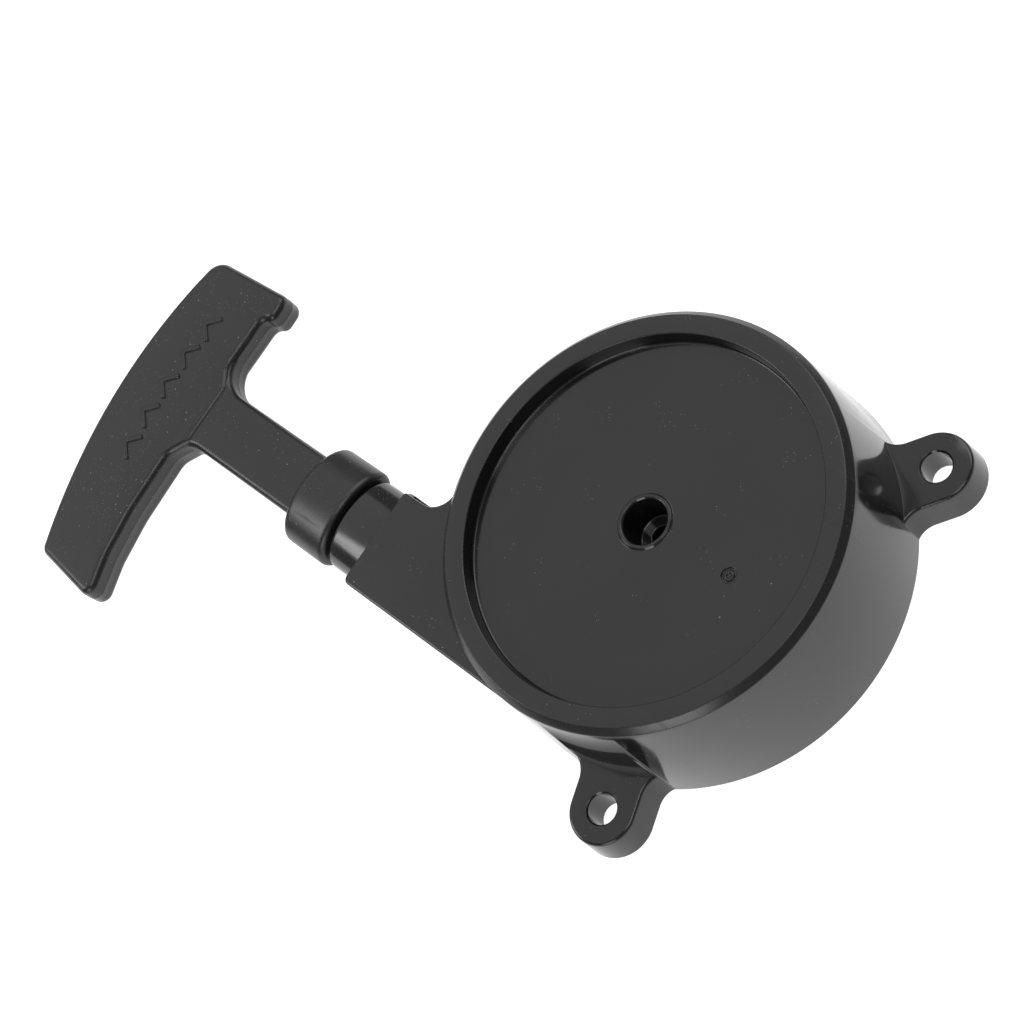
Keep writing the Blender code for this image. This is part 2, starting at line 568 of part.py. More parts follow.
clear_scene()
PARTS = new_collection("recoil_starter")
TOOLS = new_collection("cutters")
BLACK_GLOSS = new_material("black_gloss_plastic", (0.012, 0.012, 0.013), 0.15)
BLACK_SATIN = new_material("black_satin_plastic", (0.014, 0.014, 0.015), 0.38)
GREY_PLASTIC = new_material("grey_nylon", (0.30, 0.30, 0.29), 0.45)
STEEL = new_material("zinc_plated_steel", (0.62, 0.62, 0.60), 0.30, 1.0)
SPRING_STEEL = new_material("blued_spring_steel", (0.20, 0.22, 0.26), 0.32, 1.0)
BRASS = new_material("brass", (0.78, 0.58, 0.26), 0.28, 1.0)
ROPE = new_material("braided_nylon", (0.75, 0.73, 0.68), 0.80)

ROOT = new_empty("starter_frame", (0, 0, 0))
REEL_AXIS = new_empty("reel_axis", (0, 0, ROPE_Z), ROOT)
PLATE_AXIS = new_empty("plate_axis", (0, 0, PLATE_BOTTOM - ROPE_Z), REEL_AXIS)
PAWL_AXIS_1 = new_empty("pawl_axis_1", (PIVOT_R, 0, PAWL_TOP - ROPE_Z), REEL_AXIS)
PAWL_AXIS_2 = new_empty("pawl_axis_2", (-PIVOT_R, 0, PAWL_TOP - ROPE_Z), REEL_AXIS)
HANDLE_AXIS = new_empty("handle_axis", (-COLLAR_START, ROPE_Y, ROPE_Z), ROOT)

build_housing()
build_rope_guide()
build_handle()
build_rope()
build_reel()
build_spring()
build_pawls()
build_friction_plate()
build_fasteners()
ROOT.location = (DRUM_X * MM, DRUM_Y * MM, 0)
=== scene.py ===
"""Looks of a rope-pull recoil starter for a small engine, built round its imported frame.

Sizes are in millimetres about the drum's axis: Z runs up from the engine face to the closed front,
and the rope is pulled towards -X.  Each sub-assembly is a class with its sizes, each finish a frozen
dataclass, and the pieces are surfaces worked out with numpy.
"""
import logging
import math
from dataclasses import dataclass, field
from enum import Enum

import bmesh
import bpy
import numpy as np
from mathutils import Matrix, Vector

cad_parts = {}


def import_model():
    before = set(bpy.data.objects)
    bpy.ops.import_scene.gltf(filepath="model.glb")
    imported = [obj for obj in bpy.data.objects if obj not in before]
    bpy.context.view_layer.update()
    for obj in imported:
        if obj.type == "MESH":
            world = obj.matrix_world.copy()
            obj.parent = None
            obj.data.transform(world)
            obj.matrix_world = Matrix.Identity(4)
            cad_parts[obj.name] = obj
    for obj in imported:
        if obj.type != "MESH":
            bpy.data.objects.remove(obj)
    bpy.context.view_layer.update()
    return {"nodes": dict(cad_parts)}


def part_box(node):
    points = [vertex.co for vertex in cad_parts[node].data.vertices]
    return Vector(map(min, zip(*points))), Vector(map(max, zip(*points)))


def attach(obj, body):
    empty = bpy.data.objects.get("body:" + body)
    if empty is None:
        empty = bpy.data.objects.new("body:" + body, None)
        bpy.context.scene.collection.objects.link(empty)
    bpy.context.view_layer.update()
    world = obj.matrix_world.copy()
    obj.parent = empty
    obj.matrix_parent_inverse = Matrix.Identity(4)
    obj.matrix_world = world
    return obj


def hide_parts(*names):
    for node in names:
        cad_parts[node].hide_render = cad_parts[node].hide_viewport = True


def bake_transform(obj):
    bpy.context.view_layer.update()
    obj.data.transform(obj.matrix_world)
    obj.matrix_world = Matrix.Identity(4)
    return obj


LOG = logging.getLogger("recoil_starter")
MM = 0.001
Array = np.ndarray
Corner = tuple[float, float, float]


class Body(Enum):
    """The bodies that pieces ride on."""

    HOUSING = "housing_body"
    REEL = "reel_body"
    HANDLE = "handle_body"


class Cut(Enum):
    """What a Boolean step does."""

    JOIN = "UNION"
    REMOVE = "DIFFERENCE"


@dataclass(frozen=True)
class Datum:
    """Where the drum's axis and the rope's line stand in the frame.

    x, y: the drum's axis, in metres.  rope_y, rope_z: the rope's line, in mm from the drum's axis.
    """

    x: float
    y: float
    rope_y: float
    rope_z: float

    @classmethod
    def from_frame(cls) -> "Datum":
        """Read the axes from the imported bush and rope.

        Returns:
            The datum of this frame.
        """
        low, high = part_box("reel_bush")
        x, y = (low.x + high.x) / 2, (low.y + high.y) / 2
        low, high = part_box("rope_run")
        return cls(x, y, ((low.y + high.y) / 2 - y) / MM, (low.z + high.z) / 2 / MM)

    def place(self, points: Array) -> Array:
        """Points in mm about the drum's axis as metres in the frame.

        Args:
            points: array whose last axis is x, y, z.

        Returns:
            The same array in the frame.
        """
        return points * MM + np.array([self.x, self.y, 0.0])

    def along_pull(self, points: Array, height: float = 1.0) -> Array:
        """Turn a lathed form's Z onto the rope's line, where heights count towards -X.

        Args:
            points: array about its own Z axis, in mm.
            height: height over width of the section; below 1 the round form becomes an oval.

        Returns:
            The array about the drum's axis, in mm.
        """
        x, y, z = points[..., 0], points[..., 1], points[..., 2]
        return np.stack([-z, y + self.rope_y, x * height + self.rope_z], axis=-1)


def rounded(corners: list[Corner], steps: int = 6) -> Array:
    """An outline whose corners are arcs that touch both neighbouring sides.

    The arc's centre lies on the corner's bisector at radius / sin(half angle), and its ends at
    radius / tan(half angle) from the corner.

    Args:
        corners: (x, y, radius) of each corner; radius 0 keeps it sharp.
        steps: steps of each arc.

    Returns:
        The outline's points, one row each.
    """
    runs = []
    for k, (x, y, radius) in enumerate(corners):
        here = np.array([x, y])
        if radius <= 0:
            runs.append(here[None])
            continue
        back = np.array(corners[k - 1][:2]) - here
        ahead = np.array(corners[(k + 1) % len(corners)][:2]) - here
        back, ahead = back / np.linalg.norm(back), ahead / np.linalg.norm(ahead)
        half = math.acos(float(np.clip(back @ ahead, -1, 1))) / 2
        if half > math.pi / 2 - 1e-3:
            runs.append(here[None])
            continue
        middle = (back + ahead) / np.linalg.norm(back + ahead)
        centre = here + middle * radius / math.sin(half)
        first = here + back * radius / math.tan(half) - centre
        last = here + ahead * radius / math.tan(half) - centre
        start = math.atan2(first[1], first[0])
        sweep = (math.atan2(last[1], last[0]) - start + math.pi) % (2 * math.pi) - math.pi
        angle = start + sweep * np.linspace(0, 1, steps + 1)
        runs.append(centre + radius * np.stack([np.cos(angle), np.sin(angle)], axis=1))
    outline = np.concatenate(runs)
    keep = np.linalg.norm(outline - np.roll(outline, 1, axis=0), axis=1) > 1e-4
    return outline[keep]


def anticlockwise(outline: Array) -> Array:
    """The closed outline in the order that has its inside on the left.

    Args:
        outline: points of a closed outline.

    Returns:
        The outline, reversed if its signed area (the sum of cross products) is negative.
    """
    after = np.roll(outline, -1, axis=0)
    area = np.sum(outline[:, 0] * after[:, 1] - outline[:, 1] * after[:, 0])
    return outline if area > 0 else outline[::-1]


def parallel(outline: Array, inset: float) -> Array:
    """A line parallel to a closed outline.

    Each point moves along the sum of its two sides' inward normals over one plus their dot product.

    Args:
        outline: anticlockwise points.
        inset: distance inwards, or outwards if negative.

    Returns:
        The moved points.
    """
    side = np.roll(outline, -1, axis=0) - outline
    side = side / np.linalg.norm(side, axis=1, keepdims=True)
    after = np.stack([-side[:, 1], side[:, 0]], axis=1)
    before = np.roll(after, 1, axis=0)
    mitre = (after + before) / (1 + np.sum(after * before, axis=1, keepdims=True))
    return outline + inset * mitre


def slab(outline: Array, levels: list[tuple[float, float]]) -> Array:
    """A flat outline given its thickness: each level is the outline drawn in, at a height.

    Args:
        outline: closed outline in X and Y.
        levels: (inset, height) from the bottom to the top.

    Returns:
        Grid of level, point, xyz.
    """
    base = anticlockwise(outline)
    rings = [np.column_stack([parallel(base, inset), np.full(len(base), z)]) for inset, z in levels]
    return np.stack(rings)


def edge_levels(bottom: float, top: float, edge: float, steps: int = 5, bead: float = 0.0,
                draft: float = 0.0) -> list[tuple[float, float]]:
    """Levels of a slab whose rims are quarter circles, with a parting bead half way up.

    With a bead the walls are drawn in by its height, so that the bead's tip meets the outline.

    Args:
        bottom: lowest height.
        top: highest height.
        edge: radius of the rims.
        steps: steps of each quarter circle.
        bead: how far the parting line stands out.
        draft: how far the top is drawn in.

    Returns:
        (inset, height) pairs from the bottom to the top.
    """
    angle = np.linspace(0, math.pi / 2, steps + 1)
    low = [(edge - edge * math.sin(a), bottom + edge - edge * math.cos(a)) for a in angle]
    high = [(edge - edge * math.sin(a) + draft, top - edge + edge * math.cos(a)) for a in angle[::-1]]
    if bead <= 0:
        return low + high
    middle = (bottom + top) / 2
    levels = low + [(0.0, middle - 0.16), (-bead, middle), (0.0, middle + 0.16)] + high
    return [(inset + bead, z) for inset, z in levels]


def lathed(profile: Array, steps: int = 96) -> Array:
    """Turn a (radius, height) profile about Z.

    Args:
        profile: radius and height of each point.
        steps: steps of the turn.

    Returns:
        Grid of profile point, step, xyz: radius times cosine and sine of the turn, and the height.
    """
    turn = np.linspace(0, 2 * math.pi, steps, endpoint=False)
    radius, height = profile[:, :1], profile[:, 1:]
    return np.stack([radius * np.cos(turn), radius * np.sin(turn), height + 0 * turn], axis=-1)


def swept(path: Array, guide: Array, radius: float, sides: int = 16) -> Array:
    """A round cord along a path: the centre plus radius times a circle across the path.

    Args:
        path: points of the centreline.
        guide: a vector at each point, roughly across the path, from which the circle starts.
        radius: radius of the cord.
        sides: steps round it.

    Returns:
        Grid of path point, side, xyz.
    """
    run = np.gradient(path, axis=0)
    run = run / np.linalg.norm(run, axis=1, keepdims=True)
    across = guide - np.sum(guide * run, axis=1, keepdims=True) * run
    across = across / np.linalg.norm(across, axis=1, keepdims=True)
    over = np.cross(run, across)
    turn = np.linspace(0, 2 * math.pi, sides, endpoint=False)[None, :, None]
    return path[:, None] + radius * (across[:, None] * np.cos(turn) + over[:, None] * np.sin(turn))


def surface(name: str, grid: Array, loop: bool = False, uv_length: float = 0.0) -> bpy.types.Object:
    """A mesh object over a grid whose second axis runs all the way round.

    Args:
        name: the object's name.
        grid: array of ring, step, xyz, in metres.
        loop: whether the last ring joins the first; otherwise both ends are capped.
        uv_length: if above 0, a UV map is made with this length along the rings.

    Returns:
        The new object.
    """
    rings, steps = grid.shape[:2]
    index = np.arange(rings * steps).reshape(rings, steps)
    right = np.roll(index, -1, axis=1)
    above, above_right = np.roll(index, -1, axis=0), np.roll(right, -1, axis=0)
    quads = np.stack([index, right, above_right, above], axis=-1)
    quads = quads if loop else quads[:-1]
    faces = quads.reshape(-1, 4).tolist()
    if not loop:
        faces += [index[0, ::-1].tolist(), index[-1].tolist()]
    mesh = bpy.data.meshes.new(name)
    mesh.from_pydata(grid.reshape(-1, 3), [], faces)
    if uv_length > 0:
        ring, step = np.meshgrid(np.arange(rings - 1), np.arange(steps), indexing="ij")
        u = np.stack([ring, ring, ring + 1, ring + 1], axis=-1) / (rings - 1) * uv_length
        v = np.stack([step, step + 1, step + 1, step], axis=-1) / steps
        flat = np.zeros((len(mesh.loops), 2), np.float32)
        flat[:u.size] = np.stack([u.ravel(), v.ravel()], axis=1)
        mesh.uv_layers.new(name="length_and_turn").data.foreach_set("uv", flat.ravel())
    work = bmesh.new()
    work.from_mesh(mesh)
    bmesh.ops.remove_doubles(work, verts=work.verts, dist=1e-7)
    bmesh.ops.recalc_face_normals(work, faces=work.faces)
    work.to_mesh(mesh)
    work.free()
    made = bpy.data.objects.new(name, mesh)
    bpy.context.scene.collection.objects.link(made)
    return made


def combined(body: bpy.types.Object, tools: list[bpy.types.Object], cut: Cut) -> bpy.types.Object:
    """Join tools to a body or remove them from it, and drop the tools.

    Args:
        body: the object that is changed.
        tools: closed objects, used one after the other.
        cut: what each step does.

    Returns:
        The body with its new mesh.
    """
    for tool in tools:
        step = body.modifiers.new(tool.name, "BOOLEAN")
        step.operation = cut.value
        step.solver = "EXACT"
        step.object = tool
    bpy.context.view_layer.update()
    graph = bpy.context.evaluated_depsgraph_get()
    mesh = bpy.data.meshes.new_from_object(body.evaluated_get(graph))
    body.modifiers.clear()
    body.data = mesh
    for tool in tools:
        bpy.data.objects.remove(tool, do_unlink=True)
    return body


class Nodes:
    """A material's node tree, with a short call for each kind of node that the finishes use."""

    def __init__(self, name: str) -> None:
        """Start a material.

        Args:
            name: the material's name.
        """
        self.material = bpy.data.materials.new(name)
        self.material.use_nodes = True
        self.tree = self.material.node_tree
        self.shader = self.tree.nodes["Principled BSDF"]
        self.object = self.add("ShaderNodeTexCoord").outputs["Object"]

    def add(self, kind: str, **values: object) -> bpy.types.Node:
        """Make a node and set its properties.

        Args:
            kind: the node's type.
            values: its properties by name.

        Returns:
            The node.
        """
        made = self.tree.nodes.new(kind)
        for name, value in values.items():
            setattr(made, name, value)
        return made

    def feed(self, socket: bpy.types.NodeSocket, value: object) -> None:
        """Link a socket, or set it if the value is a number or a colour.

        Args:
            socket: the input.
            value: an output socket, a number or a tuple.
        """
        if isinstance(value, bpy.types.NodeSocket):
            self.tree.links.new(value, socket)
        else:
            socket.default_value = value

    def stretched(self, scale: tuple[float, float, float],
                  place: tuple[float, float, float] = (0, 0, 0)) -> bpy.types.NodeSocket:
        """Object coordinates scaled along each axis, and moved first so that place is the centre.

        Args:
            scale: factor along X, Y and Z.
            place: the point in metres that becomes the pattern's origin.

        Returns:
            The vector output.
        """
        moved = self.add("ShaderNodeMapping")
        self.feed(moved.inputs["Vector"], self.object)
        moved.inputs["Scale"].default_value = scale
        moved.inputs["Location"].default_value = [-p * s for p, s in zip(place, scale)]
        return moved.outputs["Vector"]

    def noise(self, scale: float, detail: float = 3.0, vector: object = None) -> bpy.types.NodeSocket:
        """Fractal noise from 0 to 1.

        Args:
            scale: cells to the metre.
            detail: octaves.
            vector: coordinates, or None for the object's own.

        Returns:
            The noise's output.
        """
        made = self.add("ShaderNodeTexNoise")
        self.feed(made.inputs["Vector"], vector or self.object)
        made.inputs["Scale"].default_value = scale
        made.inputs["Detail"].default_value = detail
        return made.outputs["Fac"]

    def specks(self, scale: float, size: float, share: float) -> bpy.types.NodeSocket:
        """Sparse round specks, 1 inside and 0 between: near a random cell's point, where noise is high.

        Args:
            scale: cells to the metre.
            size: radius of a speck, as a share of its cell.
            share: the noise level above which specks show.

        Returns:
            The mask.
        """
        cells = self.add("ShaderNodeTexVoronoi")
        self.feed(cells.inputs["Vector"], self.object)
        cells.inputs["Scale"].default_value = scale
        near = self.ramp(cells.outputs["Distance"], size * 0.7, size, 1.0, 0.0)
        where = self.ramp(self.noise(scale * 0.11, 2.0), share, share + 0.03, 0.0, 1.0)
        return self.math("MULTIPLY", near, where)

    def ramp(self, value: object, low: float, high: float, a: float, b: float) -> bpy.types.NodeSocket:
        """Carry a value from low..high to a..b.

        Args:
            value: what is read.
            low: its lower end.
            high: its upper end.
            a: result at the lower end.
            b: result at the upper end.

        Returns:
            The result, held within its ends.
        """
        made = self.add("ShaderNodeMapRange")
        for socket, given in zip(made.inputs, (value, low, high, a, b)):
            self.feed(socket, given)
        return made.outputs["Result"]

    def math(self, operation: str, a: object, b: object = 0.0) -> bpy.types.NodeSocket:
        """A sum, product or other operation of two values.

        Args:
            operation: the Math node's operation.
            a: first value.
            b: second value.

        Returns:
            The result.
        """
        made = self.add("ShaderNodeMath", operation=operation)
        self.feed(made.inputs[0], a)
        self.feed(made.inputs[1], b)
        return made.outputs["Value"]

    def mix(self, share: object, a: object, b: object) -> bpy.types.NodeSocket:
        """Mix two colours.

        Args:
            share: 0 for the first, 1 for the second.
            a: first colour.
            b: second colour.

        Returns:
            The mixed colour.
        """
        made = self.add("ShaderNodeMix", data_type="RGBA")
        self.feed(made.inputs["Factor"], share)
        colours = [s for s in made.inputs if s.type == "RGBA"]
        for socket, given in zip(colours, (a, b)):
            self.feed(socket, (*given, 1.0) if isinstance(given, tuple) else given)
        return next(s for s in made.outputs if s.type == "RGBA")

    def bump(self, height: object, depth: float, normal: object = None) -> bpy.types.NodeSocket:
        """Raise the surface by a height map.

        Args:
            height: values from 0 to 1.
            depth: height of 1, in millimetres.
            normal: a normal to build on, or None.

        Returns:
            The normal.
        """
        made = self.add("ShaderNodeBump")
        made.inputs["Distance"].default_value = depth * MM
        self.feed(made.inputs["Height"], height)
        if normal is not None:
            self.feed(made.inputs["Normal"], normal)
        return made.outputs["Normal"]

    def softened(self, radius: float) -> bpy.types.NodeSocket:
        """A normal that rounds the edges and the lines where forms meet.

        Args:
            radius: radius in millimetres.

        Returns:
            The normal.
        """
        made = self.add("ShaderNodeBevel", samples=4)
        made.inputs["Radius"].default_value = radius * MM
        return made.outputs["Normal"]

    def dress(self, colour: object, roughness: object, normal: object, metallic: float = 0.0) -> None:
        """Set the shader's inputs.

        Args:
            colour: base colour.
            roughness: roughness.
            normal: the bumped normal.
            metallic: 1 for metals.
        """
        self.feed(self.shader.inputs["Base Color"], colour)
        self.feed(self.shader.inputs["Roughness"], roughness)
        self.feed(self.shader.inputs["Normal"], normal)
        self.shader.inputs["Metallic"].default_value = metallic


@dataclass(frozen=True)
class MouldedPlastic:
    """Moulded plastic with flow marks, fine grain, rubbed streaks and a little dust."""

    name: str
    colour: tuple[float, float, float]
    roughness: float
    spread: float
    grain: float
    dust: float
    soft_edge: float = 0.3
    top_roughness: float = 0.0
    top_height: float = 0.0

    def make(self) -> bpy.types.Material:
        """Build the material.

        Returns:
            The material.
        """
        n = Nodes(self.name)
        flow = n.noise(45.0, 4.0)
        streak = n.noise(1.0, 5.0, n.stretched((60.0, 900.0, 300.0)))
        rough = n.ramp(flow, 0.3, 0.7, self.roughness - self.spread, self.roughness + self.spread)
        if self.top_height > 0:
            split = n.add("ShaderNodeSeparateXYZ")
            n.feed(split.inputs[0], n.object)
            low, high = (self.top_height - 0.4) * MM, (self.top_height + 0.4) * MM
            on_top = n.ramp(split.outputs["Z"], low, high, 0.0, self.top_roughness)
            rough = n.math("ADD", rough, on_top)
        rough = n.math("ADD", rough, n.ramp(streak, 0.58, 0.75, 0.0, 0.10))
        dust = n.specks(520.0, 0.09, 0.62 - self.dust)
        lint = n.specks(1300.0, 0.13, 0.60 - self.dust)
        marks = n.math("MAXIMUM", dust, n.math("MULTIPLY", lint, 0.6))
        rough = n.math("MAXIMUM", rough, n.math("MULTIPLY", marks, 0.7))
        darker = tuple(0.8 * c for c in self.colour)
        base = n.mix(n.ramp(flow, 0.35, 0.65, 0.0, 1.0), darker, self.colour)
        base = n.mix(n.math("MULTIPLY", marks, 0.8), base, (0.26, 0.26, 0.25))
        normal = n.bump(n.noise(2600.0, 2.0), self.grain, n.softened(self.soft_edge))
        normal = n.bump(n.noise(38.0, 2.0), 0.012, normal)
        normal = n.bump(marks, 0.02, normal)
        n.dress(base, rough, normal)
        return n.material


@dataclass(frozen=True)
class Metal:
    """Plated, blued or turned metal, with brushed or turned lines and a drifting tint."""

    name: str
    colour: tuple[float, float, float]
    tint: tuple[float, float, float]
    roughness: float
    line_scale: tuple[float, float, float]
    line_depth: float
    rings_at: tuple[float, float] | None = None

    def make(self) -> bpy.types.Material:
        """Build the material.

        Returns:
            The material.
        """
        n = Nodes(self.name)
        patches = n.noise(110.0, 4.0)
        lines = n.noise(1.0, 4.0, n.stretched(self.line_scale))
        if self.rings_at is not None:
            rings = n.add("ShaderNodeTexWave", wave_type="RINGS", rings_direction="Z")
            n.feed(rings.inputs["Vector"], n.stretched((1, 1, 1), (*self.rings_at, 0.0)))
            rings.inputs["Scale"].default_value = 900.0
            rings.inputs["Distortion"].default_value = 0.6
            lines = n.math("ADD", n.math("MULTIPLY", lines, 0.5), rings.outputs["Fac"])
        pits = n.specks(900.0, 0.10, 0.55)
        rough = n.ramp(patches, 0.3, 0.7, self.roughness - 0.06, self.roughness + 0.08)
        rough = n.math("MAXIMUM", rough, n.math("MULTIPLY", pits, 0.65))
        base = n.mix(n.ramp(patches, 0.35, 0.7, 0.0, 1.0), self.colour, self.tint)
        base = n.mix(n.math("MULTIPLY", pits, 0.6), base, tuple(0.35 * c for c in self.colour))
        normal = n.bump(lines, self.line_depth, n.softened(0.15))
        normal = n.bump(pits, -0.01, normal)
        n.dress(base, rough, normal, 1.0)
        return n.material


class BraidMap(Enum):
    """Where a braid reads its length and its turn from."""

    PULL_LINE = "object coordinates about the rope's line"
    UV = "length and turn map"


@dataclass(frozen=True)
class Braid:
    """Braided nylon cord: strands that cross both ways, a fibre in each, coloured tracers, and painted shade
    in the grooves between strands.
    """

    name: str
    colour: tuple[float, float, float]
    tracer: tuple[float, float, float]
    strands: int
    lay: float
    source: BraidMap
    line: tuple[float, float] = (0.0, 0.0)

    def make(self) -> bpy.types.Material:
        """Build the material.

        Returns:
            The material.
        """
        n = Nodes(self.name)
        split = n.add("ShaderNodeSeparateXYZ")
        if self.source is BraidMap.PULL_LINE:
            n.feed(split.inputs[0], n.stretched((1, 1, 1), (0.0, *self.line)))
            length = split.outputs["X"]
            turn = n.math("DIVIDE", n.math("ARCTAN2", split.outputs["Z"], split.outputs["Y"]), 2 * math.pi)
        else:
            n.feed(split.inputs[0], n.add("ShaderNodeUVMap", uv_map="length_and_turn").outputs["UV"])
            length, turn = split.outputs["X"], split.outputs["Y"]
        along = n.math("MULTIPLY", length, self.strands / (self.lay * MM))
        round_it = n.math("MULTIPLY", turn, float(self.strands))
        right, left = n.math("ADD", along, round_it), n.math("SUBTRACT", along, round_it)
        waves = [n.math("SINE", n.math("MULTIPLY", way, 2 * math.pi)) for way in (right, left)]
        height = n.ramp(n.math("MAXIMUM", *waves), -0.2, 1.0, 0.0, 1.0)
        fibre = n.noise(4200.0, 2.0)
        which = n.math("MODULO", n.math("FLOOR", n.math("ADD", right, 400.0)), 4.0)
        traced = n.math("LESS_THAN", which, 0.5)
        base = n.mix(n.math("MULTIPLY", traced, 0.85), self.colour, self.tracer)
        # painted shade: the grooves between the strands are darkened towards a quarter of the cord's colour
        base = n.mix(n.ramp(height, 0.0, 0.7, 0.65, 0.0), base, tuple(0.25 * c for c in self.colour))
        normal = n.bump(fibre, 0.04, n.bump(height, 0.22))
        n.dress(base, n.ramp(fibre, 0.2, 0.8, 0.6, 0.85), normal)
        return n.material


@dataclass(frozen=True)
class Seamless:
    """White paper that stays white right up to the object."""

    name: str = "paper"
    glow: float = 1.0

    def make(self) -> bpy.types.Material:
        """Build the material.

        Returns:
            The material.
        """
        n = Nodes(self.name)
        fibre = n.noise(900.0, 3.0)
        base = n.mix(fibre, (0.50, 0.50, 0.50), (0.53, 0.53, 0.53))
        n.dress(base, 0.9, n.bump(fibre, 0.02))
        n.shader.inputs["Emission Color"].default_value = (1, 1, 1, 1)
        n.shader.inputs["Emission Strength"].default_value = self.glow
        return n.material


BLACK_GLOSS = MouldedPlastic("black_gloss_plastic", (0.009, 0.009, 0.0096), 0.13, 0.03, 0.004, 0.0,
                             top_roughness=0.14, top_height=28.5)
BLACK_SATIN = MouldedPlastic("black_satin_plastic", (0.010, 0.010, 0.0105), 0.32, 0.05, 0.012, 0.14)
BUSH_PLASTIC = MouldedPlastic("black_bush_plastic", (0.011, 0.011, 0.0115), 0.16, 0.03, 0.004, 0.0)
GREY_NYLON = MouldedPlastic("grey_glass_nylon", (0.26, 0.26, 0.25), 0.42, 0.06, 0.03, 0.0)
ZINC = Metal("zinc_plate", (0.66, 0.66, 0.63), (0.60, 0.58, 0.50), 0.28, (90.0, 1400.0, 1400.0), 0.006)
BLUED = Metal("blued_spring_steel", (0.16, 0.18, 0.23), (0.26, 0.22, 0.20), 0.26,
              (120.0, 120.0, 3800.0), 0.008)


def finished(obj: bpy.types.Object, body: Body, material: bpy.types.Material,
             replaced: tuple[str, ...], sharp: float = 28.0) -> bpy.types.Object:
    """Shade, dress and hang a finished piece on its body.

    Args:
        obj: the piece.
        body: the body it rides on.
        material: its material.
        replaced: the CAD nodes it stands for.
        sharp: angle in degrees above which an edge stays sharp.

    Returns:
        The piece.
    """
    obj.data.shade_smooth()
    obj.data.set_sharp_from_angle(angle=math.radians(sharp))
    obj.data.materials.clear()
    obj.data.materials.append(material)
    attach(obj, body.value)
    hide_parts(*replaced)
    LOG.info("%s: %d faces, for %s", obj.name, len(obj.data.polygons), ", ".join(replaced))
    return obj


def around(radius: float, degrees: Array | float) -> Array:
    """Points on a circle about the origin.

    Args:
        radius: the circle's radius.
        degrees: one or more angles.

    Returns:
        x and y of each.
    """
    angle = np.radians(degrees)
    return np.stack([radius * np.cos(angle), radius * np.sin(angle)], axis=-1)


def spin(azimuth: float) -> Array:
    """The matrix that turns row vectors about Z.

    Args:
        azimuth: the turn in degrees.

    Returns:
        The 3 x 3 matrix.
    """
    turn = math.radians(azimuth)
    return np.array([[math.cos(turn), math.sin(turn), 0], [-math.sin(turn), math.cos(turn), 0], [0, 0, 1]])


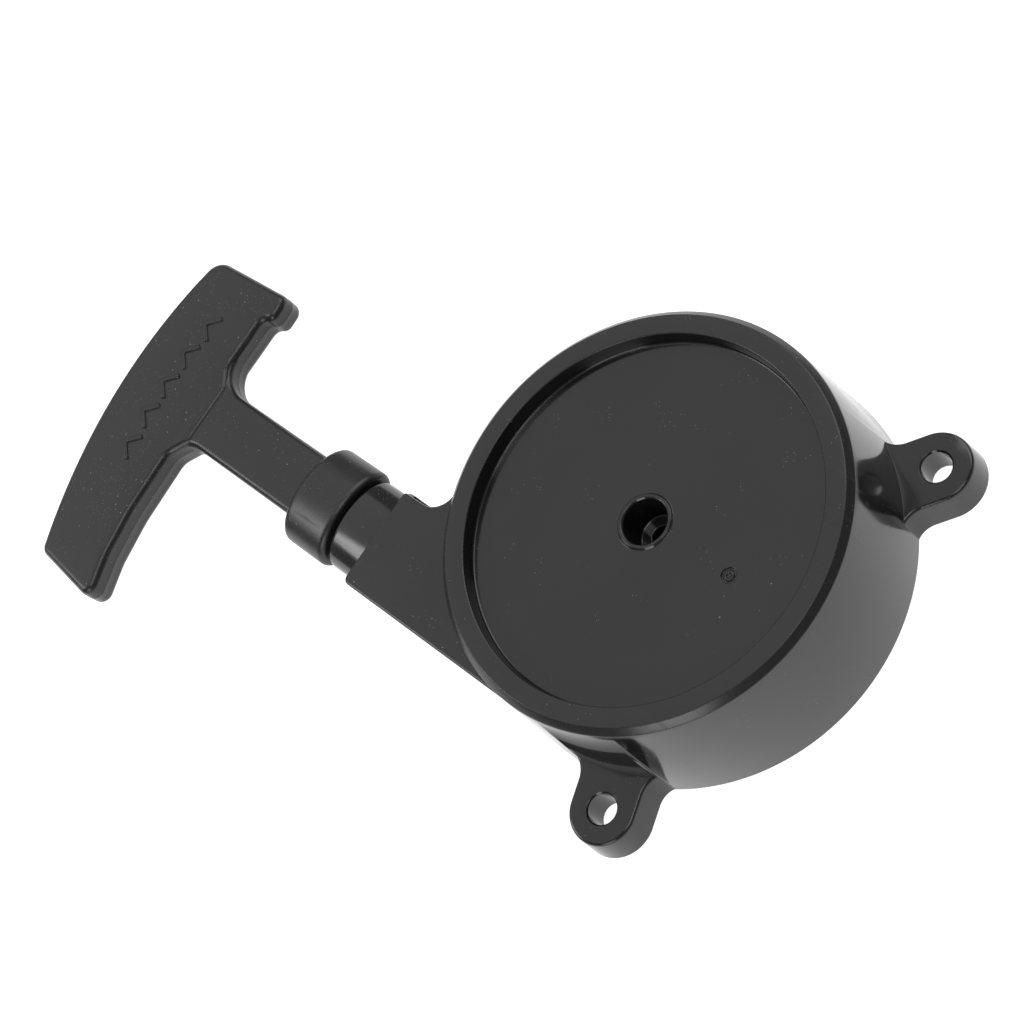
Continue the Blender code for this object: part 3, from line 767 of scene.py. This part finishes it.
@dataclass
class Housing:
    """The moulded cup with its rope neck, three ears, centre post and gate mark."""

    datum: Datum
    drum_r: float = 45.0
    base_r: float = 47.3
    ear_root_r: float = 46.8
    height: float = 31.0
    chamfer: float = 1.4
    recess_r: float = 39.4
    recess_floor: float = 27.3
    bore_r: float = 42.0
    ear_azimuths: tuple[float, ...] = (48.9, 168.9, 288.9)
    ear_pitch_r: float = 54.75
    ear_r: float = 8.2
    ear_height: float = 7.8
    ear_flare: float = 5.0
    ear_hole_r: float = 3.25
    neck_end: float = -53.8
    neck_upper: float = -22.0
    neck_top: float = 28.6
    neck_bottom: float = 1.0
    neck_flare: float = 5.5
    gate: tuple[float, float] = (22.9, -0.1)
    turn_steps: int = 360

    def drum(self) -> bpy.types.Object:
        """The cup and its post, turned in one piece.

        Returns:
            The object.
        """
        top, floor = self.height, self.recess_floor
        profile = rounded([
            (0, 16.2, 0), (2.3, 16.2, 0.3), (2.3, 19.0, 0.25), (4.9, 19.0, 0.5), (4.9, floor + 0.1, 0.1),
            (5.2, floor + 0.4, 0.12), (5.8, floor + 0.4, 0.15), (6.1, floor, 0.15),
            (self.recess_r - 0.3, floor, 0.45), (self.recess_r, top, 0.35),
            (self.drum_r - self.chamfer, top, 0.35), (self.drum_r, top - self.chamfer, 0.35),
            (self.base_r, 0, 0.25),
            (self.bore_r, 0, 0.4), (self.bore_r, 22.8, 0.5), (self.bore_r - 1.5, 24.3, 0.5),
            (8.0, 24.3, 0.6), (8.0, 3.4, 0.3), (4.3, 3.4, 0.2), (4.3, 15.1, 0.2), (0, 15.1, 0)], 5)
        return surface("housing_shell", self.datum.place(lathed(profile, self.turn_steps)))

    def neck(self) -> bpy.types.Object:
        """The box that leads the rope away from the drum, with its flared inner corner.

        Returns:
            The object.
        """
        reach = self.drum_r + 0.3 + self.neck_flare
        y = self.neck_upper + self.neck_flare
        x = -math.sqrt(reach ** 2 - y ** 2)
        start = math.degrees(math.atan2(-y, -x))
        flare = np.array([x, y]) + around(self.neck_flare, np.linspace(start, -90, 13))
        corners = [(*p, 0.0) for p in flare.tolist()]
        corners += [(self.neck_end, self.neck_upper, 0.8), (self.neck_end, -self.drum_r, 1.5),
                    (0, -self.drum_r, 0)]
        corners += [(*p, 0.0) for p in around(self.drum_r - 2.5, np.linspace(-90, -160, 25)).tolist()]
        levels = edge_levels(self.neck_bottom, self.neck_top, 0.5, 4)
        return surface("neck", self.datum.place(slab(rounded(corners, 5), levels)))

    def ear(self, azimuth: float) -> bpy.types.Object:
        """One ear: round at its tip, flared into the wall, drawn in towards its top.

        Args:
            azimuth: where it stands round the drum, in degrees.

        Returns:
            The object.
        """
        y = self.ear_r + self.ear_flare
        x = math.sqrt((self.ear_root_r + self.ear_flare) ** 2 - y ** 2)
        start = math.degrees(math.atan2(-y, -x))
        flare = np.array([x, y]) + around(self.ear_flare, np.linspace(start, -90, 17))
        flare = np.concatenate([[[x - 6, y + 0.5]], flare])
        tip = np.array([self.ear_pitch_r, 0]) + around(self.ear_r, np.linspace(-90, 90, 41))
        outline = np.concatenate([flare * [1, -1], tip[1:-1], flare[::-1], [[39, 8], [39, -8]]])
        levels = [(0.15, 0.0), (0.0, 0.15)]
        levels += edge_levels(0.2, self.ear_height, 0.7, 5, draft=0.6)[6:]
        return surface("ear", self.datum.place(slab(outline, levels) @ spin(azimuth)))

    def ear_hole(self, azimuth: float) -> bpy.types.Object:
        """The bore of an ear, opened out a little at both faces.

        Args:
            azimuth: where the ear stands, in degrees.

        Returns:
            The cutter.
        """
        r, h = self.ear_hole_r, self.ear_height
        profile = np.array([(0, -1), (r + 0.9, -1), (r, 0.35), (r, h - 0.3), (r + 0.9, h + 0.6),
                            (0, h + 0.6)])
        grid = lathed(profile, 64) + np.append(around(self.ear_pitch_r, azimuth), 0)
        return surface("ear_hole", self.datum.place(grid))

    def channel(self) -> bpy.types.Object:
        """The rope's way through the wall and the neck.

        Returns:
            The cutter.
        """
        corners = [(self.neck_end + 2.6, -42.2, 1.5), (-8, -42.2, 1.5), (-8, -24.6, 1.5),
                   (self.neck_end + 2.6, -24.6, 1.5)]
        return surface("channel", self.datum.place(slab(rounded(corners), [(0, 3.6), (0, 24.0)])))

    def outlet(self) -> bpy.types.Object:
        """The round hole at the neck's end.

        Returns:
            The cutter.
        """
        grid = lathed(np.array([(0, 45), (7.3, 45), (7.3, 60), (0, 60)]), 64)
        return surface("outlet", self.datum.place(self.datum.along_pull(grid)))

    def gate_mark(self) -> bpy.types.Object:
        """The ring and the small pit that a cut-off gate leaves on the front.

        Returns:
            The cutter.
        """
        f = self.recess_floor
        profile = np.array([(0, f - 0.4), (0.4, f - 0.35), (0.65, f - 0.05), (1.05, f - 0.05),
                            (1.25, f - 0.35), (1.6, f - 0.35), (1.78, f + 0.5), (0, f + 0.5)])
        return surface("gate_mark", self.datum.place(lathed(profile, 48) + np.array([*self.gate, 0])))

    def rib(self, azimuth: float) -> bpy.types.Object:
        """A rib that holds the spring case.

        Args:
            azimuth: where it stands, in degrees.

        Returns:
            The object.
        """
        outline = np.array([(39.1, -1), (43.0, -1), (43.0, 1), (39.1, 1.0)])
        return surface("rib", self.datum.place(slab(outline, [(0, 17.6), (0, 25.3)]) @ spin(azimuth)))

    def build(self) -> bpy.types.Object:
        """Join the forms, open the holes and dress the housing.

        Returns:
            The piece.
        """
        forms = [self.neck()] + [self.ear(a) for a in self.ear_azimuths]
        body = combined(self.drum(), forms, Cut.JOIN)
        cutters = [self.channel(), self.outlet(), self.gate_mark()]
        cutters += [self.ear_hole(a) for a in self.ear_azimuths]
        body = combined(body, cutters, Cut.REMOVE)
        body = combined(body, [self.rib(60 * k + 20) for k in range(6)], Cut.JOIN)
        return finished(body, Body.HOUSING, BLACK_GLOSS.make(), ("housing",))


@dataclass
class RopeGuide:
    """The bush at the neck's end that the rope leaves through."""

    datum: Datum
    flange_start: float = 54.1
    flange_t: float = 2.0
    flange_side: float = 23.4
    outer_r: float = 11.0
    end: float = 70.7
    seat_r: float = 5.4
    seat_end: float = 71.3
    oval: float = 0.605

    def build(self) -> bpy.types.Object:
        """Join the oval barrel, the round spigot and seat and the square flange, bore them and dress them.

        Returns:
            The piece.
        """
        a, r, e, s = self.flange_start, self.outer_r, self.end, self.seat_end
        barrel = rounded([(0, a + 0.4, 0), (r + 0.7, a + 0.4, 0), (r + 0.7, a + self.flange_t - 0.2, 0.3),
                          (r, a + self.flange_t + 1.6, 1.2), (r, e, 1.3), (0, e, 0)], 7)
        core = rounded([(0, a - 5, 0), (7.0, a - 5, 0.3), (7.0, a + 1, 0), (self.seat_r, a + 1, 0),
                        (self.seat_r, s, 0.5), (0, s, 0)], 5)
        half = self.flange_side / 2
        square = rounded([(-half, -half, 2.5), (half, -half, 2.5), (half, half, 2.5), (-half, half, 2.5)], 6)
        bore = rounded([(0, a - 6, 0), (3.9, a - 6, 0), (3.9, 60.3, 0), (2.6, 60.3, 0), (2.6, s - 2.6, 1.5),
                        (3.9, s + 0.4, 0), (0, s + 0.4, 0)], 6)
        pull, place = self.datum.along_pull, self.datum.place
        body = surface("rope_guide_bush", place(pull(lathed(barrel, 160), self.oval)))
        plate = surface("flange", place(pull(slab(square, edge_levels(a, a + self.flange_t, 0.45, 4)))))
        body = combined(body, [surface("core", place(pull(lathed(core, 96)))), plate], Cut.JOIN)
        body = combined(body, [surface("guide_bore", place(pull(lathed(bore, 96))))], Cut.REMOVE)
        return finished(body, Body.HOUSING, BUSH_PLASTIC.make(), ("rope_guide",))


@dataclass
class Handle:
    """The T-grip: a bowed grip with hooked ends, a flat stem and a round collar."""

    datum: Datum
    bow_x: float = -154.76
    bow_y: float = -30.0
    bow_radius: float = 120.0
    top: float = -0.8
    toe: float = -83.8
    thickness: float = 8.2
    edge: float = 1.8
    stem_upper: float = 7.9
    stem_lower: float = 7.7
    stem_thickness: float = 7.0
    stem_edge: float = 1.5
    collar_start: float = 71.6
    collar_end: float = 85.9
    collar_r: float = 12.15
    collar_oval: float = 0.605
    pocket_r: float = 3.1
    chevrons: int = 5
    chevron_pitch: float = 8.4
    chevron_rise: float = 0.45
    chevron_inset: float = 12.2
    chevron_band: float = 0.62
    chevron_arm: float = 3.0
    chevron_reach: float = 3.4

    def bow(self, y: Array | float) -> Array:
        """X of the bowed outer face: its furthest reach plus the square of y over twice the radius.

        Args:
            y: position along the grip.

        Returns:
            X at each y.
        """
        return self.bow_x + (np.asarray(y) - self.bow_y) ** 2 / (2 * self.bow_radius)

    def grip(self) -> bpy.types.Object:
        """The bowed grip.

        Returns:
            The object.
        """
        upper, lower = self.datum.rope_y + self.stem_upper, self.datum.rope_y - self.stem_lower
        low_end = self.toe + 1.6
        inner = [(float(self.bow(self.top)), self.top, 5.0), (-124.6, 0.4, 2.8), (-124.4, -6.2, 2.2),
                 (-127.4, -7.4, 2.3), (-127.4, upper + 4.5, 4.0), (-123.8, upper - 0.2, 2.2),
                 (-123.8, lower + 0.2, 2.2), (-127.3, lower - 5, 4.0), (-126.6, -62, 30.0),
                 (-124.8, -73, 14.0), (-121.0, self.toe - 0.4, 2.8), (float(self.bow(low_end)), low_end, 2.8)]
        inner += [(float(self.bow(y)), float(y), 0.0) for y in np.linspace(self.toe + 7, self.top - 8, 40)]
        outline = rounded(inner, 8)
        half = self.thickness / 2
        z = self.datum.rope_z
        levels = edge_levels(z - half, z + half, self.edge, 6, bead=0.07)
        return surface("pull_handle", self.datum.place(slab(outline, levels)))

    def stem(self) -> bpy.types.Object:
        """The flat stem with its flares into the grip.

        Returns:
            The object.
        """
        upper, lower = self.datum.rope_y + self.stem_upper, self.datum.rope_y - self.stem_lower
        corners = [(-78, upper, 0), (-127.4, upper, 8.0), (-127.4, -15, 0), (-140, -15, 0),
                   (-140, -53, 0), (-127.3, -53, 0), (-127.3, lower, 6.0), (-78, lower, 0)]
        half = self.stem_thickness / 2
        z = self.datum.rope_z
        levels = edge_levels(z - half, z + half, self.stem_edge, 6, bead=0.06)
        return surface("stem", self.datum.place(slab(rounded(corners, 12), levels)))

    def collar(self) -> bpy.types.Object:
        """The oval collar, which seats on the rope guide.

        Returns:
            The object.
        """
        a, e, r = self.collar_start, self.collar_end, self.collar_r
        profile = rounded([(0, e, 0), (r, e, 1.9), (r, a, 1.5), (0, a, 0)], 7)
        grid = self.datum.along_pull(lathed(profile, 160), self.collar_oval)
        return surface("collar", self.datum.place(grid))

    def bore(self, radius: float, start: float, end: float) -> bpy.types.Object:
        """A round cutter along the rope's line.

        Args:
            radius: its radius.
            start: nearer end, from the drum's axis.
            end: further end.

        Returns:
            The cutter.
        """
        grid = lathed(np.array([(0, start), (radius, start), (radius, end), (0, end)]), 48)
        return surface("bore", self.datum.place(self.datum.along_pull(grid)))

    def chevron(self, k: int) -> bpy.types.Object:
        """One raised chevron that points the way the rope is pulled.

        Its band is a mitred line whose section is a low rounded ridge.

        Args:
            k: its number along the grip.

        Returns:
            The object.
        """
        y = self.datum.rope_y + self.chevron_pitch * (k - (self.chevrons - 1) / 2) + 0.6
        x = float(self.bow(y)) + self.chevron_inset
        w, arm, reach = self.chevron_band, self.chevron_arm, self.chevron_reach
        outline = rounded([(x + reach, y - arm - w, 0.4), (x + reach + 2 * w, y - arm, 0.4),
                           (x + 1.8 * w, y, 0.2), (x + reach + 2 * w, y + arm, 0.4),
                           (x + reach, y + arm + w, 0.4), (x - w, y, 0.5)], 4)
        top = self.datum.rope_z + self.thickness / 2
        rise = self.chevron_rise
        levels = [(-0.1, top - 0.4), (-0.05, top), (0.02, top + rise * 0.6), (0.12, top + rise * 0.9),
                  (0.24, top + rise)]
        return surface("chevron", self.datum.place(slab(outline, levels)))

    def build(self) -> bpy.types.Object:
        """Join the forms, bore them and dress the handle.

        Returns:
            The piece.
        """
        forms = [self.stem(), self.collar()] + [self.chevron(k) for k in range(self.chevrons)]
        body = combined(self.grip(), forms, Cut.JOIN)
        start = self.collar_start
        cutters = [self.bore(self.pocket_r, 142.0, 160.0), self.bore(1.9, start - 1.0, 143.0),
                   self.bore(3.4, start - 1.0, start + 0.9)]
        body = combined(body, cutters, Cut.REMOVE)
        return finished(body, Body.HANDLE, BLACK_SATIN.make(), ("handle",))


@dataclass
class Rope:
    """The pull rope: wound on the reel, straight through the neck, and knotted at both ends."""

    datum: Datum
    radius: float = 1.5
    outer_r: float = 33.1
    pitch: float = 3.4
    turns: float = 4.6
    knot_share: float = 0.31
    fixed_end: float = -30.0
    pulled_end: float = -71.6
    colour: tuple[float, float, float] = (0.72, 0.70, 0.66)
    tracer: tuple[float, float, float] = (0.05, 0.05, 0.06)
    strands: int = 8
    lay: float = 12.0

    def winding(self) -> bpy.types.Object:
        """The flat spiral on the reel: the radius falls by the pitch at each turn.

        Returns:
            The piece.
        """
        turn = np.linspace(0, self.turns, int(self.turns * 110))
        radius = self.outer_r - self.pitch * turn
        angle = np.radians(-90 + 360 * turn)
        path = np.stack([radius * np.cos(angle), radius * np.sin(angle), 0 * turn + self.datum.rope_z],
                        axis=1)
        length = float(np.sum(np.linalg.norm(np.diff(path, axis=0), axis=1))) * MM
        guide = np.tile([0.0, 0.0, 1.0], (len(path), 1))
        made = surface("wound_rope", self.datum.place(swept(path, guide, self.radius, 20)), uv_length=length)
        finish = Braid("braid_wound", self.colour, self.tracer, self.strands, self.lay, BraidMap.UV)
        return finished(made, Body.REEL, finish.make(), ("rope_winding",), 60.0)

    def run(self) -> bpy.types.Object:
        """The straight rope between the housing and the handle.

        Returns:
            The piece.
        """
        low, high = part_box("rope_run")
        x = np.linspace(high.x, low.x, 700)
        y, z = self.datum.y + self.datum.rope_y * MM, self.datum.rope_z * MM
        path = np.stack([x, np.full_like(x, y), np.full_like(x, z)], axis=1)
        guide = np.tile([0.0, 1.0, 0.0], (len(path), 1))
        made = surface("pull_rope", swept(path, guide, self.radius * MM, 24))
        made.data.shade_smooth()
        made.data.set_sharp_from_angle(angle=math.radians(60))
        finish = Braid("braid_run", self.colour, self.tracer, self.strands, self.lay,
                       BraidMap.PULL_LINE, (y, z))
        made.data.materials.append(finish.make())
        start = self.datum.place(np.array([self.fixed_end, self.datum.rope_y, self.datum.rope_z]))
        end = self.datum.place(np.array([self.pulled_end, self.datum.rope_y, self.datum.rope_z]))
        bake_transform(made)
        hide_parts("rope_run")
        LOG.info("pull_rope: %d faces, for rope_run", len(made.data.polygons))
        return made

    def knot(self, name: str, node: str, body: Body) -> bpy.types.Object:
        """A tight overhand knot in place of a plain ball.

        Its line is x = sin t + 2 sin 2t, y = cos t - 2 cos 2t, z = -sin 3t, scaled to the ball's box.

        Args:
            name: the piece's name.
            node: the CAD node it stands for.
            body: the body it rides on.

        Returns:
            The piece.
        """
        low, high = (np.array(v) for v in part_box(node))
        centre, size = (low + high) / 2, (high - low) / 2
        t = np.linspace(0, 2 * math.pi, 240, endpoint=False)
        line = np.stack([-np.sin(3 * t) * 1.6, np.sin(t) + 2 * np.sin(2 * t), np.cos(t) - 2 * np.cos(2 * t)],
                        axis=1) / 3.0
        thick = self.knot_share * float(size.min())
        path = centre + line * (size - thick)
        made = surface(name, swept(path, line, thick, 16), loop=True)
        finish = Braid(f"braid_{name}", self.colour, self.tracer, self.strands, self.lay,
                       BraidMap.PULL_LINE, (float(centre[1]), float(centre[2])))
        return finished(made, body, finish.make(), (node,), 60.0)

    def build(self) -> None:
        """Make the rope's four pieces."""
        self.winding()
        self.run()
        self.knot("handle_rope_knot", "handle_knot", Body.HANDLE)
        self.knot("reel_rope_knot", "reel_knot", Body.REEL)


@dataclass
class Workings:
    """The CAD pieces whose shape is right and that only need their finish."""

    datum: Datum
    plated: tuple[str, ...] = ("rope_eyelet", "knot_washer", "spring_case", "pawl_1", "pawl_2",
                               "pawl_pin_1", "pawl_pin_2", "friction_plate", "screw_washer", "centre_screw")
    blued: tuple[str, ...] = ("recoil_spring", "friction_spring")
    brass: tuple[str, ...] = ("reel_bush", "post_insert")
    nodes: dict[str, bpy.types.Object] = field(default_factory=dict)

    def dress(self, names: tuple[str, ...], material: bpy.types.Material) -> None:
        """Give nodes a material.

        Args:
            names: the CAD nodes.
            material: their material.
        """
        for name in names:
            self.nodes[name].data.materials.clear()
            self.nodes[name].data.materials.append(material)
            LOG.info("%s: %s", name, material.name)

    def build(self) -> None:
        """Dress every node that stays."""
        turned_brass = Metal("turned_brass", (0.78, 0.57, 0.24), (0.66, 0.45, 0.18), 0.24,
                             (200.0, 200.0, 200.0), 0.01, (self.datum.x, self.datum.y))
        self.dress(self.plated, ZINC.make())
        self.dress(self.blued, BLUED.make())
        self.dress(self.brass, turned_brass.make())
        self.dress(("reel",), GREY_NYLON.make())
        self.dress(("handle_plug",), BLACK_SATIN.make())


@dataclass(frozen=True)
class SoftBox:
    """A square lamp that faces the starter.

    way: direction from the starter.  distance, size: in metres.  glow: its radiance.
    """

    name: str
    way: tuple[float, float, float]
    distance: float
    size: float
    glow: float

    def hang(self) -> None:
        """Place the lamp; its power is radiance times pi times its area."""
        light = bpy.data.lights.new(self.name, "AREA")
        light.shape = "SQUARE"
        light.size = self.size
        light.energy = self.glow * math.pi * self.size ** 2
        made = bpy.data.objects.new(self.name, light)
        bpy.context.scene.collection.objects.link(made)
        made.location = Vector(self.way).normalized() * self.distance
        made.rotation_euler = (-made.location).to_track_quat("-Z", "Y").to_euler()


SOFT_BOXES = (
    SoftBox("front_panel", (-0.595, 0.03, 0.803), 1.6, 1.9, 0.75),
    SoftBox("guide_box", (-0.60, -0.52, 0.62), 1.3, 0.42, 6.0),
    SoftBox("rim_box", (0.43, -0.74, 0.46), 1.3, 0.60, 4.0),
    SoftBox("overhead_strip", (0.22, 0.05, 0.97), 1.4, 0.45, 4.5),
    SoftBox("side_box", (-0.13, 0.66, 0.74), 1.2, 0.80, 2.2),
)


@dataclass
class Studio:
    """White paper, weak light all round, soft boxes, and the camera."""

    datum: Datum
    floor_size: float = 8.0
    world_light: float = 0.25
    lens: float = 81.2
    camera_mm: tuple[float, float, float] = (254.1, -27.7, 408.5)
    right: tuple[float, float, float] = (0.670, 0.571, -0.474)
    forward: tuple[float, float, float] = (-0.595, 0.031, -0.803)

    def floor(self) -> None:
        """The paper that the starter lies on."""
        s = np.linspace(-self.floor_size / 2, self.floor_size / 2, 9)
        x, y = np.meshgrid(s, s, indexing="ij")
        mesh = bpy.data.meshes.new("floor")
        index = np.arange(81).reshape(9, 9)
        quads = np.stack([index[:-1, :-1], index[1:, :-1], index[1:, 1:], index[:-1, 1:]], axis=-1)
        points = np.stack([x, y, np.full_like(x, -0.0003)], axis=-1).reshape(-1, 3)
        mesh.from_pydata(points, [], quads.reshape(-1, 4).tolist())
        made = bpy.data.objects.new("floor", mesh)
        bpy.context.scene.collection.objects.link(made)
        mesh.materials.append(Seamless().make())

    def lights(self) -> None:
        """Even surroundings and the soft boxes."""
        world = bpy.data.worlds.new("studio")
        world.use_nodes = True
        world.node_tree.nodes["Background"].inputs["Color"].default_value = (1, 1, 1, 1)
        world.node_tree.nodes["Background"].inputs["Strength"].default_value = self.world_light
        bpy.context.scene.world = world
        for box in SOFT_BOXES:
            box.hang()

    def camera(self) -> None:
        """The camera."""
        data = bpy.data.cameras.new("camera")
        data.sensor_width = 36.0
        data.lens = self.lens
        data.clip_start, data.clip_end = 0.01, 20.0
        made = bpy.data.objects.new("camera", data)
        bpy.context.scene.collection.objects.link(made)
        forward = Vector(self.forward).normalized()
        right = Vector(self.right)
        right = (right - right.dot(forward) * forward).normalized()
        up = right.cross(forward)
        turn = Matrix((right, up, -forward)).transposed().to_4x4()
        place = self.datum.place(np.array(self.camera_mm))
        made.matrix_world = Matrix.Translation(place.tolist()) @ turn
        bpy.context.scene.camera = made

    def build(self) -> None:
        """Set up the floor, the lights, the camera and plain colours."""
        self.floor()
        self.lights()
        self.camera()
        bpy.context.scene.view_settings.view_transform = "Standard"
        bpy.context.scene.view_settings.look = "None"


def main() -> None:
    """Build the starter's looks round the frame."""
    logging.basicConfig(level=logging.INFO, format="%(name)s: %(message)s")
    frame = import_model()
    datum = Datum.from_frame()
    Studio(datum).build()
    Housing(datum).build()
    RopeGuide(datum).build()
    Handle(datum).build()
    Rope(datum).build()
    Workings(datum, nodes=frame["nodes"]).build()


if __name__ == "__main__":
    main()
